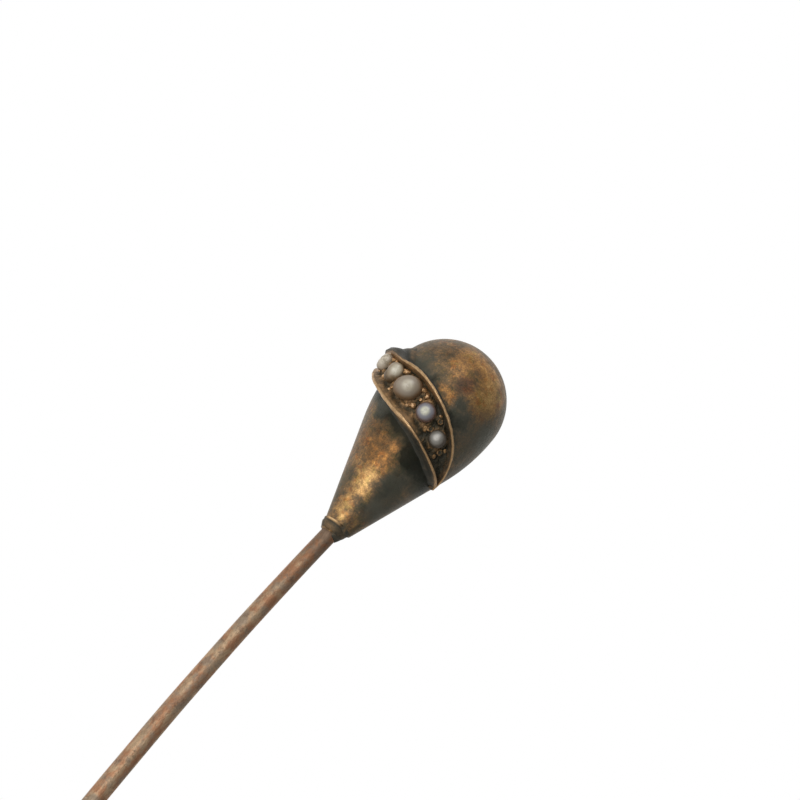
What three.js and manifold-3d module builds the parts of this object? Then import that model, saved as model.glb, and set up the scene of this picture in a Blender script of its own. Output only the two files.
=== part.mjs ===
// Antique hat pin: a hollow teardrop head on a long pointed stem, with a boat-shaped setting
// of five graded pearls wrapped slantwise round the head.
//
// Millimetres, +Z up along the stem. The origin is on the head's axis at the mouth of the neck
// collar: the head stands above it and the stem runs down from it. The setting's middle pearl
// faces -Y, and the setting falls towards +X.

import * as THREE from "three";
import { mergeVertices } from "three/addons/utils/BufferGeometryUtils.js";
import Module from "manifold-3d";

const wasm = await Module();
wasm.setup();

const DEGREE = Math.PI / 180;

// Clearances
const solderGap = 0.03; // between pieces that are soldered, set or seated against each other

// Stem: a drawn wire, a little bowed by wear and ground to a point
const stemDiameter = 1.14;
const stemLength = 134.4; // from the collar's mouth to the point
const stemInsert = 4.2; // up inside the head
const pointLength = 15;
const pointRadius = 0.04;
const bowDepth = 0.48; // how far the bow leaves the neck's axis
const bowMiddle = 16; // below the mouth, where it leaves it most
const bowEnd = 21; // below the mouth, where the wire runs straight again
const bowFacing = 210.5 * DEGREE;

// Head: a tapered shell and a domed cap, soldered at the girth
const headRadius = 4.1;
const taper = 19 * DEGREE; // between the taper's side and the axis
const shoulderRadius = 13.4; // blends the taper into the girth
const domeHeight = 4.1; // from the girth to the crown
const shellWall = 0.25;
const seamRingHeight = 1.4;
const seamRingWall = 0.22;

// Neck: collar, solder and the tapered bush that the stem is soldered into
const collarHeight = 0.62;
const collarWall = 0.37; // beyond the stem
const collarFootWall = 0.15; // the collar narrows towards its mouth
const collarShoulder = 0.42; // the height where it reaches its full width
const lipWidth = 0.05; // the taper's mouth stands proud of the collar
const solderDrop = 0.34; // down the stem
const solderToe = 0.02; // its thickness where it runs out on the stem
const bushLength = 4.6;
const neckOffset = 0.12; // the neck and stem sit off the head's axis, towards the bow

// Setting: a boat-shaped collet with two walls, and a seat plate between them
const settingFacing = -90 * DEGREE;
const settingDrop = 2.67; // from the girth down to the setting's middle
const settingSlope = 21.8 * DEGREE;
const settingReach = 104 * DEGREE; // round the head, from the middle to each end
const rimWall = 0.22;
const rimCrest = 0.6; // share of the wall left at its top, as its outer face leans in
const rimFlare = 0.1; // the outer face's spread at the head, as a share of the wall's height
const rimFlareTop = 0.35; // share of the height where that spread ends
const shoulderSpread = 0.6; // how far the upper wall thickens outwards near its upper end
const rimRounding = 0.28; // share of the crest taken off each top corner
const rimHeight = 1.12; // off the head at the middle
const rimTipHeight = 0.3; // off the head at the ends
const rimEnd = 0.967; // share of the reach where the upper wall stops
const lowerRimEnd = 0.9; // share of the reach where the lower wall stops against the upper
const rimPinch = 0.04; // share of the reach over which the walls draw together
const seatPlateEnd = 0.84; // share of the reach where the seat plate stops
const upperFullness = 2; // power of each wall's curve: the lower wall comes in sooner
const lowerFullness = 1.55;
const upperSkew = 0.08; // how much the upper wall's curve leans towards the setting's lower end
const upperDip = 0.11; // share of its distance from the middle line that it loses at a dip
const upperDipAt = -18 * DEGREE;
const upperDipReach = 12 * DEGREE;
const lowerShare = 1.05; // the lower wall's distance from the middle line against the upper's
const lowerDip = 0.13;
const lowerDipAt = 18 * DEGREE;
const lowerDipReach = 25 * DEGREE;
const lowerTurnIn = 0.35; // share of its distance that it loses past the first pearl
const seatHeight = 0.62; // the seat plate's top off the head, at the middle
const seatTipHeight = 0.1; // and at the ends
const pearlSideRoom = 0.28; // between the middle pearl and each wall

// Pearls, from the setting's upper end to its lower end
const pearlRadii = [0.57, 0.64, 0.87, 0.65, 0.58];
const pearlSpaces = [0.65, 0.32, 0.5, 0.64]; // between neighbours
const pearlShifts = [0.27, 0.13, 0.13, 0.2, 0.13]; // up the head from the setting's middle line
const pearlLengths = [0.98, 1, 1.075, 1, 1]; // stretch of each, before its turn
const pearlWidths = [1.12, 1.14, 0.91, 1, 1];
const pearlTurns = [0, 12, 56, 0, 0]; // degrees, on its own seat
const pearlRise = 0.3; // share of its radius that a pearl's middle stands over the seat plate
const pearlBack = 0.75; // share of its radius from its middle down to its flat back
const grainRadius = 0.19;
const grainSpread = 38 * DEGREE; // from the setting's length to each grain, round its pearl
const grainStandoff = 0.8; // share of its radius between a grain's middle and its pearl
const grainRise = 0.15; // share of its radius that a grain's middle stands over the seat plate

// Worked-out sizes
const stemRadius = stemDiameter / 2;
const collarRadius = stemRadius + collarWall;
const mouthRadius = collarRadius + lipWidth;
const mouthHeight = collarHeight + solderGap;
const shoulderFootRadius = headRadius - shoulderRadius * (1 - Math.cos(taper));
const shoulderFoot = mouthHeight + (shoulderFootRadius - mouthRadius) / Math.tan(taper);
const girth = shoulderFoot + shoulderRadius * Math.sin(taper);
const settingMiddle = girth - settingDrop;
const settingPitch = headRadius * Math.tan(settingSlope); // fall for each radian round the head
const middlePearl = (pearlRadii.length - 1) / 2;
const wallAcross = rimWall / Math.cos(settingSlope);
const innerHalfWidth = (pearlRadii[middlePearl] + pearlSideRoom) / Math.cos(settingSlope);
const outerHalfWidth = innerHalfWidth + wallAcross;
const pathRadius = Math.hypot(headRadius + rimHeight / 2, settingPitch); // along the middle line

// Facets
const headSides = 48;
const neckSides = 32;
const stemSides = 16;
const pearlSides = 16;

// Finishes
const gilt = { color: 0xa67c48, roughness: 0.38, metalness: 0.9 };
const patina = { color: 0x6b5234, roughness: 0.5, metalness: 0.85 };
const pinWire = { color: 0x8a6648, roughness: 0.5, metalness: 0.85 };
const solder = { color: 0x4a4436, roughness: 0.6, metalness: 0.8 };
const nacre = { color: 0xb9b1a2, roughness: 0.25, metalness: 0 };

function smooth(from, to, x) {
  return THREE.MathUtils.smoothstep(x, from, to);
}

// ---- solids ----

function solidOf(geometry) {
  const bare = geometry.index ? geometry.toNonIndexed() : geometry.clone();
  bare.deleteAttribute("normal");
  bare.deleteAttribute("uv");
  const merged = mergeVertices(bare, 1e-4);
  return new wasm.Manifold(
    new wasm.Mesh({
      numProp: 3,
      vertProperties: merged.attributes.position.array,
      triVerts: new Uint32Array(merged.index.array),
    }),
  );
}

function geometryOf(solid) {
  const mesh = solid.getMesh();
  const geometry = new THREE.BufferGeometry();
  geometry.setAttribute("position", new THREE.BufferAttribute(mesh.vertProperties, 3));
  geometry.setIndex(new THREE.BufferAttribute(mesh.triVerts, 1));
  geometry.computeVertexNormals();
  return geometry;
}

// Turns a profile of [radius, height] points round the Z axis.
function turned(profile, sides) {
  const points = profile.map(([radius, height]) => new THREE.Vector2(radius, height));
  return new THREE.LatheGeometry(points, sides).rotateX(Math.PI / 2);
}

// Joins equal closed loops of points into one closed body, each end closed by a fan.
function lofted(loops) {
  const count = loops[0].length;
  const positions = loops.flat().flatMap((p) => [p.x, p.y, p.z]);
  const faces = [];
  for (let i = 0; i + 1 < loops.length; i++) {
    for (let j = 0; j < count; j++) {
      const a = i * count + j;
      const b = i * count + ((j + 1) % count);
      faces.push(a, b, b + count, a, b + count, a + count);
    }
  }
  const last = (loops.length - 1) * count;
  for (let j = 1; j + 1 < count; j++) {
    faces.push(0, j + 1, j);
    faces.push(last, last + j, last + j + 1);
  }
  const geometry = new THREE.BufferGeometry();
  geometry.setAttribute("position", new THREE.Float32BufferAttribute(positions, 3));
  geometry.setIndex(faces);
  geometry.computeVertexNormals();
  return geometry;
}

function steps(from, to, count) {
  return Array.from({ length: count + 1 }, (_, i) => from + ((to - from) * i) / count);
}

// ---- head ----

// The head's outside at a height: its radius, and its normal as radial and upward parts.
function headSurface(height) {
  const above = height - girth;
  if (above >= 0) {
    const radius = headRadius * Math.sqrt(Math.max(0, 1 - (above / domeHeight) ** 2));
    const normal = new THREE.Vector2(radius / headRadius ** 2, above / domeHeight ** 2).normalize();
    return { radius, out: normal.x, up: normal.y };
  }
  const lean = Math.min(taper, Math.asin(Math.min(1, -above / shoulderRadius)));
  const onShoulder = headRadius - shoulderRadius * (1 - Math.cos(lean));
  const onTaper = shoulderFootRadius - (shoulderFoot - height) * Math.tan(taper);
  return {
    radius: height > shoulderFoot ? onShoulder : onTaper,
    out: Math.cos(lean),
    up: -Math.sin(lean),
  };
}

// The head's profile between two heights, moved inwards by depth.
function headProfile(heights, depth) {
  return heights.map((height) => {
    const { radius, out, up } = headSurface(height);
    return [radius - out * depth, height - up * depth];
  });
}

function headTaper() {
  const heights = [mouthHeight, ...steps(shoulderFoot, girth, 8)];
  const outside = headProfile(heights, 0);
  const inside = headProfile(heights, shellWall).reverse();
  return turned([...outside, ...inside, outside[0]], headSides);
}

function headDome() {
  const seam = girth + solderGap;
  const crown = girth + domeHeight;
  const turn = Math.asin((seam - girth) / domeHeight);
  const heights = steps(turn, Math.PI / 2, 12).map((angle) => girth + domeHeight * Math.sin(angle));
  const outside = headProfile(heights.slice(0, -1), 0);
  const inside = headProfile(heights.slice(0, -1), shellWall).reverse();
  inside[inside.length - 1][1] = seam;
  return turned([...outside, [0, crown], [0, crown - shellWall], ...inside, outside[0]], headSides);
}

function seamRing() {
  const heights = steps(girth - seamRingHeight / 2, girth + seamRingHeight / 2, 4);
  const outside = headProfile(heights, shellWall + solderGap);
  const bore = Math.min(...outside.map(([radius]) => radius)) - seamRingWall;
  const low = outside[0][1];
  const high = outside[outside.length - 1][1];
  return turned([[bore, low], ...outside, [bore, high], [bore, low]], headSides);
}

// ---- neck and stem ----

// Moves a piece from the head's axis to the neck's.
function offCentre(geometry) {
  return geometry.translate(neckOffset * Math.cos(bowFacing), neckOffset * Math.sin(bowFacing), 0);
}

function neckCollar() {
  const bore = stemRadius + solderGap;
  const profile = [
    [bore, 0],
    [stemRadius + collarFootWall, 0],
    [collarRadius - 0.015, collarShoulder],
    [collarRadius, collarShoulder + 0.08],
    [collarRadius, collarHeight],
    [bore, collarHeight],
    [bore, 0],
  ];
  return offCentre(turned(profile, neckSides));
}

function neckSolder() {
  const bore = stemRadius + solderGap;
  const toe = bore + solderToe;
  const brim = stemRadius + collarFootWall;
  const fillet = steps(90, 0, 5).map((angle) => [
    brim - (brim - toe) * Math.sin(angle * DEGREE),
    -solderGap - solderDrop * (1 - Math.cos(angle * DEGREE)),
  ]);
  const profile = [[bore, -solderGap], [bore, -solderGap - solderDrop], ...fillet, [bore, -solderGap]];
  return offCentre(turned(profile, neckSides));
}

function stemBush() {
  const foot = mouthHeight + shellWall;
  const outside = headProfile([foot, foot + bushLength], shellWall + solderGap);
  const bore = stemRadius + solderGap;
  const [low, high] = [outside[0][1], outside[1][1]];
  const plug = turned([[0, low], ...outside, [0, high]], neckSides);
  const drill = turned([[0, low - 1], [bore, low - 1], [bore, high + 1], [0, high + 1]], neckSides);
  return geometryOf(solidOf(plug).subtract(solidOf(offCentre(drill))));
}

// How far the stem's middle line lies off the neck's axis, at a distance below the collar's mouth.
function stemBow(below) {
  const curve = (x) => bowDepth * (1 - ((x - bowMiddle) / bowMiddle) ** 2);
  const slope = (-2 * bowDepth * (bowEnd - bowMiddle)) / bowMiddle ** 2;
  if (below <= 0) return 0;
  return below < bowEnd ? curve(below) : curve(bowEnd) + slope * (below - bowEnd);
}

function pinStem() {
  const shank = steps(0, bowEnd, 14).reverse().map((below) => [stemRadius, -below]);
  const tapering = [0, 0.35, 0.7, 1].map((t) => [
    THREE.MathUtils.lerp(pointRadius, stemRadius, Math.sin((t * Math.PI) / 2)),
    -stemLength + pointLength * t,
  ]);
  const profile = [[0, -stemLength], ...tapering, ...shank, [stemRadius, stemInsert], [0, stemInsert]];
  const geometry = offCentre(turned(profile, stemSides));
  const position = geometry.attributes.position;
  for (let i = 0; i < position.count; i++) {
    const bow = stemBow(-position.getZ(i));
    position.setX(i, position.getX(i) + bow * Math.cos(bowFacing));
    position.setY(i, position.getY(i) + bow * Math.sin(bowFacing));
  }
  return geometry;
}

// ---- setting ----

// A point on the setting: along is the angle round the head from the setting's middle, across
// is the distance up the head from its middle line, and off is the height off the head.
function settingPoint(along, across, off) {
  const height = settingMiddle - settingPitch * along + across;
  const { radius, out, up } = headSurface(height);
  const angle = settingFacing + along;
  const reach = radius + out * off;
  return new THREE.Vector3(reach * Math.cos(angle), reach * Math.sin(angle), height + up * off);
}

// A share that falls from 1 at the setting's middle to 0 at its ends, as a boat's side does.
function boat(along, fullness = 2) {
  return 1 - Math.abs(along / settingReach) ** fullness;
}

// The share of a wall's distance from the middle line that's left where it dips in.
function dipped(along, depth, at, reach) {
  return 1 - depth * Math.exp(-(((along - at) / reach) ** 2));
}

// Each wall's outside, as a distance up the head from the setting's middle line.
function upperOutside(along) {
  const skew = 1 + upperSkew * Math.sin((Math.PI * along) / settingReach);
  const dip = dipped(along, upperDip, upperDipAt, upperDipReach);
  return outerHalfWidth * boat(along, upperFullness) * skew * dip;
}

function lowerOutside(along) {
  const turnIn = 1 - lowerTurnIn * smooth(38 * DEGREE, 72 * DEGREE, -along);
  const dip = dipped(along, lowerDip, lowerDipAt, lowerDipReach);
  return -outerHalfWidth * lowerShare * boat(along, lowerFullness) * turnIn * dip;
}

// How far the upper wall's foot spreads where it thickens.
function shoulder(along) {
  const rise = smooth(12 * DEGREE, 36 * DEGREE, -along);
  return shoulderSpread * rise * (1 - smooth(48 * DEGREE, 80 * DEGREE, -along));
}

function rimTop(along) {
  return rimTipHeight + (rimHeight - rimTipHeight) * boat(along);
}

function seatLevel(along) {
  return seatTipHeight + (seatHeight - seatTipHeight) * boat(along);
}

// Where the two walls meet: on the middle line, and at the ends under the lower wall's outside.
function rimDivide(along) {
  const share = Math.abs(along) / settingReach;
  return lowerOutside(along) * smooth(lowerRimEnd - rimPinch, lowerRimEnd + rimPinch, share);
}

// One wall's section, from its outside edge to its inside edge: a flared foot, a leaning outer
// face, a narrow crest with its corners taken off, and an upright inner face. The outer face
// bulges where the wall is thickened.
function rimSection(along, outside, inside, thickened = 0) {
  const top = rimTop(along);
  const outward = Math.sign(outside - inside);
  const crest = Math.min(rimWall, Math.abs(outside - inside)) * rimCrest;
  const corner = crest * rimRounding;
  const lean = (outside + inside + outward * crest) / 2;
  const section = [
    settingPoint(along, outside + outward * (rimFlare * top + thickened), solderGap),
    settingPoint(along, outside + outward * thickened * 0.9, rimFlareTop * top),
    settingPoint(along, lean + outward * thickened * 0.72, 0.7 * top),
    settingPoint(along, inside + outward * (crest + thickened * 0.38), top - corner),
    settingPoint(along, inside + outward * (crest - corner), top),
    settingPoint(along, inside + outward * corner, top),
    settingPoint(along, inside, top - corner),
    settingPoint(along, inside, solderGap),
  ];
  return inside > outside ? section.reverse() : section;
}

function upperRim() {
  const reach = settingReach * rimEnd;
  return lofted(
    steps(-reach, reach, 44).map((along) => {
      const outside = upperOutside(along);
      const inside = Math.max(outside - wallAcross, rimDivide(along) + solderGap / 2);
      return rimSection(along, outside, inside, shoulder(along));
    }),
  );
}

function lowerRim() {
  const reach = settingReach * lowerRimEnd;
  return lofted(
    steps(-reach, reach, 44).map((along) => {
      const outside = lowerOutside(along);
      const inside = Math.min(outside + wallAcross, rimDivide(along) - solderGap / 2);
      return rimSection(along, outside, inside);
    }),
  );
}

// A frame on the setting: x along it, z off the head.
function settingFrame(along, across, off) {
  const origin = settingPoint(along, across, off);
  const out = settingPoint(along, across, off + 0.1).sub(origin).normalize();
  const ahead = settingPoint(along + 0.01, across, off).sub(origin);
  const side = out.clone().cross(ahead).normalize();
  return new THREE.Matrix4().makeBasis(side.clone().cross(out), side, out).setPosition(origin);
}

// Each pearl's angle along the setting, spaced outwards from the middle pearl.
function pearlAngles() {
  const places = pearlRadii.map(() => 0);
  for (let i = middlePearl; i + 1 < pearlRadii.length; i++) {
    places[i + 1] = places[i] + pearlRadii[i] + pearlSpaces[i] + pearlRadii[i + 1];
  }
  for (let i = middlePearl; i > 0; i--) {
    places[i - 1] = places[i] - pearlRadii[i] - pearlSpaces[i - 1] - pearlRadii[i - 1];
  }
  return places.map((place) => place / pathRadius);
}

const pearlPlaces = pearlAngles().map((along, i) => ({
  name: `pearl_${i + 1}`,
  along,
  across: pearlShifts[i],
  radius: pearlRadii[i],
  stretch: new THREE.Matrix4().makeScale(pearlLengths[i], pearlWidths[i], 1),
  turn: new THREE.Matrix4().makeRotationZ(pearlTurns[i] * DEGREE),
}));

function pearlFrame({ along, across, radius, stretch, turn }) {
  const seat = settingFrame(along, across, seatLevel(along) + pearlRise * radius);
  return seat.multiply(turn).multiply(stretch);
}

// A round pearl with a flat back, grown by a margin for the seat that it is cut from.
function pearlShape(radius, margin) {
  const grown = radius + margin;
  const back = -pearlBack * radius - margin;
  const rounded = steps(Math.asin(back / grown), Math.PI / 2, 8).map((angle) => [
    grown * Math.cos(angle),
    grown * Math.sin(angle),
  ]);
  rounded[rounded.length - 1][0] = 0;
  return turned([[0, back], ...rounded], pearlSides);
}

function seatPlate() {
  const reach = settingReach * seatPlateEnd;
  const plate = lofted(
    steps(-reach, reach, 40).map((along) => {
      const low = lowerOutside(along) + wallAcross + solderGap;
      const high = upperOutside(along) - wallAcross - solderGap;
      const places = steps(low, high, 4);
      const under = places.map((across) => settingPoint(along, across, solderGap));
      const over = places.map((across) => settingPoint(along, across, seatLevel(along)));
      return [...over.reverse(), ...under];
    }),
  );
  let solid = solidOf(plate);
  for (const pearl of pearlPlaces) {
    for (const grain of grainShapes(pearl)) solid = solid.add(solidOf(grain));
  }
  for (const pearl of pearlPlaces) {
    const seat = pearlShape(pearl.radius, solderGap).applyMatrix4(pearlFrame(pearl));
    solid = solid.subtract(solidOf(seat));
  }
  return geometryOf(solid);
}

// The beads raised from the plate round a pearl to hold it down, one at each corner.
function grainShapes(pearl) {
  const distance = pearl.radius + grainRadius * grainStandoff;
  const turns = [grainSpread, -grainSpread, Math.PI - grainSpread, Math.PI + grainSpread];
  return turns.map((turn) => {
    const along = pearl.along + (distance * Math.cos(turn)) / pathRadius;
    const room = wallAcross + (grainRadius + solderGap) / Math.cos(settingSlope); // clear of the walls
    const wanted = pearl.across + distance * Math.sin(turn);
    const across = Math.min(upperOutside(along) - room, Math.max(lowerOutside(along) + room, wanted));
    const middle = settingPoint(along, across, seatLevel(along) + grainRadius * grainRise);
    return new THREE.SphereGeometry(grainRadius, 8, 5).translate(middle.x, middle.y, middle.z);
  });
}

// ---- assembly ----

function mesh(name, geometry, finish) {
  const made = new THREE.Mesh(geometry, new THREE.MeshStandardMaterial(finish));
  made.name = name;
  return made;
}

const stem = new THREE.Group();
stem.add(mesh("pin_stem", pinStem(), pinWire));

const neck = new THREE.Group();
neck.add(mesh("neck_collar", neckCollar(), patina));
neck.add(mesh("neck_solder", neckSolder(), solder));
neck.add(mesh("stem_bush", stemBush(), gilt));

const head = new THREE.Group();
head.add(mesh("head_taper", headTaper(), patina));
head.add(mesh("head_dome", headDome(), patina));
head.add(mesh("seam_ring", seamRing(), gilt));

const setting = new THREE.Group();
setting.add(mesh("setting_rim_upper", upperRim(), gilt));
setting.add(mesh("setting_rim_lower", lowerRim(), gilt));
setting.add(mesh("seat_plate", seatPlate(), gilt));
for (const pearl of pearlPlaces) {
  setting.add(mesh(pearl.name, pearlShape(pearl.radius, 0).applyMatrix4(pearlFrame(pearl)), nacre));
}

const hatPin = new THREE.Group();
hatPin.add(stem, neck, head, setting);

export default hatPin;
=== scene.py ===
import math

import bmesh
import bpy
from mathutils import Matrix, Vector, noise


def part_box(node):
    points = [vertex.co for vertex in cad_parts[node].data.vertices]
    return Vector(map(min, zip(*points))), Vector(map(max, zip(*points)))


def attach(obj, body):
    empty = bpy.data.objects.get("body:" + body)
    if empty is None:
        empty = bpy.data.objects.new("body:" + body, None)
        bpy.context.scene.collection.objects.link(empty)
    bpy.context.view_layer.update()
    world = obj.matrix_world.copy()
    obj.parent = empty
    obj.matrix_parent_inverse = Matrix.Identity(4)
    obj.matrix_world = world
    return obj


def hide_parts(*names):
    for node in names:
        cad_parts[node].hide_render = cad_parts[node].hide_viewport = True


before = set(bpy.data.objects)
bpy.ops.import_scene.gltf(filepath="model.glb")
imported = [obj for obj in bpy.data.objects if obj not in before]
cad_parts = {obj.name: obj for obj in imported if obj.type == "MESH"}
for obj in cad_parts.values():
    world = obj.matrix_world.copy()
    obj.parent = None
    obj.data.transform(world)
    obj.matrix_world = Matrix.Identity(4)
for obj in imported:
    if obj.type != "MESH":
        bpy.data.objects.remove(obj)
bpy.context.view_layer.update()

mm = 0.001
print("frame loaded:", len(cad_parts), "nodes")


def boxOf(node):
    return [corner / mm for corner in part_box(node)]


taperLow, taperHigh = boxOf("head_taper")
_, domeHigh = boxOf("head_dome")
collarLow, collarHigh = boxOf("neck_collar")
stemLow, stemHigh = boxOf("pin_stem")

headRadius = taperHigh.x
mouth = taperLow.z
girth = taperHigh.z
crown = domeHigh.z
collarRadius = (collarHigh.x - collarLow.x) / 2
neckMiddle = Vector(((collarLow.x + collarHigh.x) / 2, (collarLow.y + collarHigh.y) / 2, 0))


def clamp(value, low=0.0, high=1.0):
    return max(low, min(high, value))


def ease(low, high, value):  # smooth step from 0 to 1
    t = clamp((value - low) / (high - low))
    return t * t * (3 - 2 * t)


def steps(low, high, count):
    return [low + (high - low) * i / count for i in range(count + 1)]


def uneven(place, size, seed=0):  # smooth noise from about -1 to 1
    return noise.noise(Vector(place) / size + Vector((7.3, 3.1, 5.7)) * (seed + 1))


class Piece:
    def __init__(self, name):
        self.name = name
        self.points = []
        self.wear = []  # 0 in a recess, 1 on a rubbed edge
        self.faces = []

    def skin(self, loops, ends="fan"):  # each loop is a list of (point, wear)
        start, count = len(self.points), len(loops[0])
        for loop in loops:
            self.points += [point for point, _ in loop]
            self.wear += [wear for _, wear in loop]
        rows = list(range(len(loops))) + ([0] if ends == "join" else [])
        for a, b in zip(rows, rows[1:]):
            for j in range(count):
                k = (j + 1) % count
                corners = (a * count + j, a * count + k, b * count + k, b * count + j)
                self.faces.append([start + corner for corner in corners])
        if ends == "fan":
            self.close(loops[0], start)
            self.close(loops[-1], start + (len(loops) - 1) * count)
        return self

    def close(self, loop, start):
        centre = len(self.points)
        self.points.append(sum((point for point, _ in loop), Vector()) / len(loop))
        self.wear.append(sum(wear for _, wear in loop) / len(loop))
        for j in range(len(loop)):
            self.faces.append([start + j, start + (j + 1) % len(loop), centre])

    def make(self, finish, slot, *nodes, sharp=50):
        mesh = bpy.data.meshes.new(self.name)
        mesh.from_pydata([point * mm for point in self.points], [], self.faces)
        wear = mesh.attributes.new("wear", "FLOAT", "POINT")
        wear.data.foreach_set("value", self.wear)
        bm = bmesh.new()
        bm.from_mesh(mesh)
        bmesh.ops.recalc_face_normals(bm, faces=bm.faces)
        bm.to_mesh(mesh)
        bm.free()
        mesh.shade_smooth()
        mesh.set_sharp_from_angle(angle=math.radians(sharp))
        mesh.materials.append(finish)
        piece = bpy.data.objects.new(self.name, mesh)
        bpy.context.scene.collection.objects.link(piece)
        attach(piece, "root")
        if nodes:
            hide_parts(*nodes)
        return piece


def rings(profile, sides, shape):  # profile is (radius, height, wear) round Z, shape alters each point
    loops = []
    for radius, height, wear in profile:
        loop = []
        for turn in steps(0, 2 * math.pi, sides)[:-1]:
            place = Vector((radius * math.cos(turn), radius * math.sin(turn), height))
            loop.append(shape(place, wear))
        loops.append(loop)
    return loops


def placed(loops, matrix):
    return [[(matrix @ point, wear) for point, wear in loop] for loop in loops]


class Wire:  # an output socket with arithmetic
    def __init__(self, finish, socket):
        self.finish = finish
        self.socket = socket

    def sum(self, operation, *values):
        settings = {"operation": operation}
        return self.finish.wire("Math", settings, dict(enumerate(values)))

    def __add__(self, other):
        return self.sum("ADD", self, other)

    def __sub__(self, other):
        return self.sum("SUBTRACT", self, other)

    def __rsub__(self, other):
        return self.sum("SUBTRACT", other, self)

    def __mul__(self, other):
        return self.sum("MULTIPLY", self, other)

    def __truediv__(self, other):
        return self.sum("DIVIDE", self, other)

    def __abs__(self):
        return self.sum("ABSOLUTE", self)

    def power(self, other):
        return self.sum("POWER", self, other)

    def ease(self, low, high, start=0.0, end=1.0):
        settings = {"interpolation_type": "SMOOTHSTEP"}
        values = {0: self, 1: low, 2: high, 3: start, 4: end}
        return self.finish.wire("MapRange", settings, values)

    __radd__ = __add__
    __rmul__ = __mul__


class Finish:
    def __init__(self, name, tree=None, **fixed):
        if tree is None:
            self.material = bpy.data.materials.new(name)
            self.material.use_nodes = True
            tree = self.material.node_tree
        tree.nodes.clear()
        self.tree = tree
        self.fixed = fixed

    def node(self, kind, settings=None, sockets=None):
        made = self.tree.nodes.new("ShaderNode" + kind)
        for key, value in (settings or {}).items():
            if key == "stops":
                self.ramp(made.color_ramp, value)
            else:
                setattr(made, key, value)
        for key, value in (sockets or {}).items():
            if isinstance(value, Wire):
                self.tree.links.new(value.socket, made.inputs[key])
            elif isinstance(value, tuple) and made.inputs[key].type == "RGBA":
                made.inputs[key].default_value = (*value, 1)
            else:
                made.inputs[key].default_value = value
        return made

    def ramp(self, ramp, stops):
        while len(ramp.elements) < len(stops):
            ramp.elements.new(0.5)
        for element, (position, colour) in zip(ramp.elements, stops):
            element.position = position
            element.color = (*colour, 1)

    def wire(self, kind, settings=None, sockets=None, output=0):
        return Wire(self, self.node(kind, settings, sockets).outputs[output])

    def place(self):  # the point in millimetres
        position = self.wire("TexCoord", output="Object")
        return self.wire("VectorMath", {"operation": "SCALE"}, {0: position, "Scale": 1 / mm})

    def noise(self, place, size, detail=4.0, rough=0.55, seed=0, output="Fac"):
        sockets = {"Vector": place, "W": seed * 3.7, "Scale": 1 / size, "Detail": detail, "Roughness": rough}
        return self.wire("TexNoise", {"noise_dimensions": "4D"}, sockets, output)

    def stretched(self, place, x, y, z):
        return self.wire("VectorMath", {"operation": "MULTIPLY"}, {0: place, 1: (x, y, z)})

    def warped(self, place, size, amount, seed=0):
        swirl = self.noise(place, size, 2, seed=seed, output="Color")
        level = self.wire("VectorMath", {"operation": "SUBTRACT"}, {0: swirl, 1: (0.5, 0.5, 0.5)})
        offset = self.wire("VectorMath", {"operation": "SCALE"}, {0: level, "Scale": amount})
        return self.wire("VectorMath", {"operation": "ADD"}, {0: place, 1: offset})

    def distance(self, place, centre):
        return self.wire("VectorMath", {"operation": "DISTANCE"}, {0: place, 1: centre}, "Value")

    def colour(self, value, stops):
        return self.wire("ValToRGB", {"stops": stops}, {0: value})

    def mix(self, factor, a, b, blend="MIX"):
        settings = {"data_type": "RGBA", "blend_type": blend}
        return self.wire("Mix", settings, {0: factor, 6: a, 7: b}, 2)

    def wear(self):
        return self.wire("Attribute", {"attribute_name": "wear"}, output="Fac")

    def done(self, bump, depth, **varying):  # depth is the bump's full height in millimetres
        sockets = {"Strength": 1.0, "Distance": depth * mm, "Height": bump}
        normal = self.wire("Bump", None, sockets)
        named = {key.replace("_", " "): value for key, value in {**self.fixed, **varying}.items()}
        shader = self.wire("BsdfPrincipled", None, {**named, "Normal": normal})
        self.node("OutputMaterial", None, {"Surface": shader})
        return self.material


camera = {
    "azimuth": math.radians(30.5),
    "elevation": math.radians(-22),  # looks up from below the head
    "tilt": math.radians(40.84),  # turned on its own axis, so that the pin lies across the view
    "distance": 85,
    "lens": 57.96,
    "aimRight": 2.94,  # the girth's middle stands this far right of the view's middle
    "aimUp": -0.06,
}


def viewAxes():
    turn, rise, tilt = camera["azimuth"], camera["elevation"], camera["tilt"]
    forward = Vector((-math.sin(turn) * math.cos(rise), math.cos(turn) * math.cos(rise), -math.sin(rise)))
    level = Vector((math.cos(turn), math.sin(turn), 0))
    upright = level.cross(forward)
    right = level * math.cos(tilt) + upright * math.sin(tilt)
    up = upright * math.cos(tilt) - level * math.sin(tilt)
    return right, up, forward


viewRight, viewUp, viewForward = viewAxes()
headMiddle = Vector((0, 0, girth))


def makeCamera():
    aim = viewRight * camera["aimRight"] + viewUp * camera["aimUp"]
    place = headMiddle - viewForward * camera["distance"] - aim
    made = bpy.data.objects.new("camera", bpy.data.cameras.new("camera"))
    made.data.lens = camera["lens"]
    made.data.clip_start = 0.005
    made.data.clip_end = 20
    turn = Matrix((viewRight, viewUp, -viewForward)).transposed().to_4x4()
    made.matrix_world = Matrix.Translation(place * mm) @ turn
    bpy.context.scene.collection.objects.link(made)
    bpy.context.scene.camera = made


makeCamera()
print("camera placed")


headShape = {
    "taperAngle": math.radians(19),
    "shoulderRadius": 13.4,
    "wall": 0.25,
    "dentDepth": 0.014,
    "dentSize": 2.4,
    "sides": 224,
}


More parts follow.
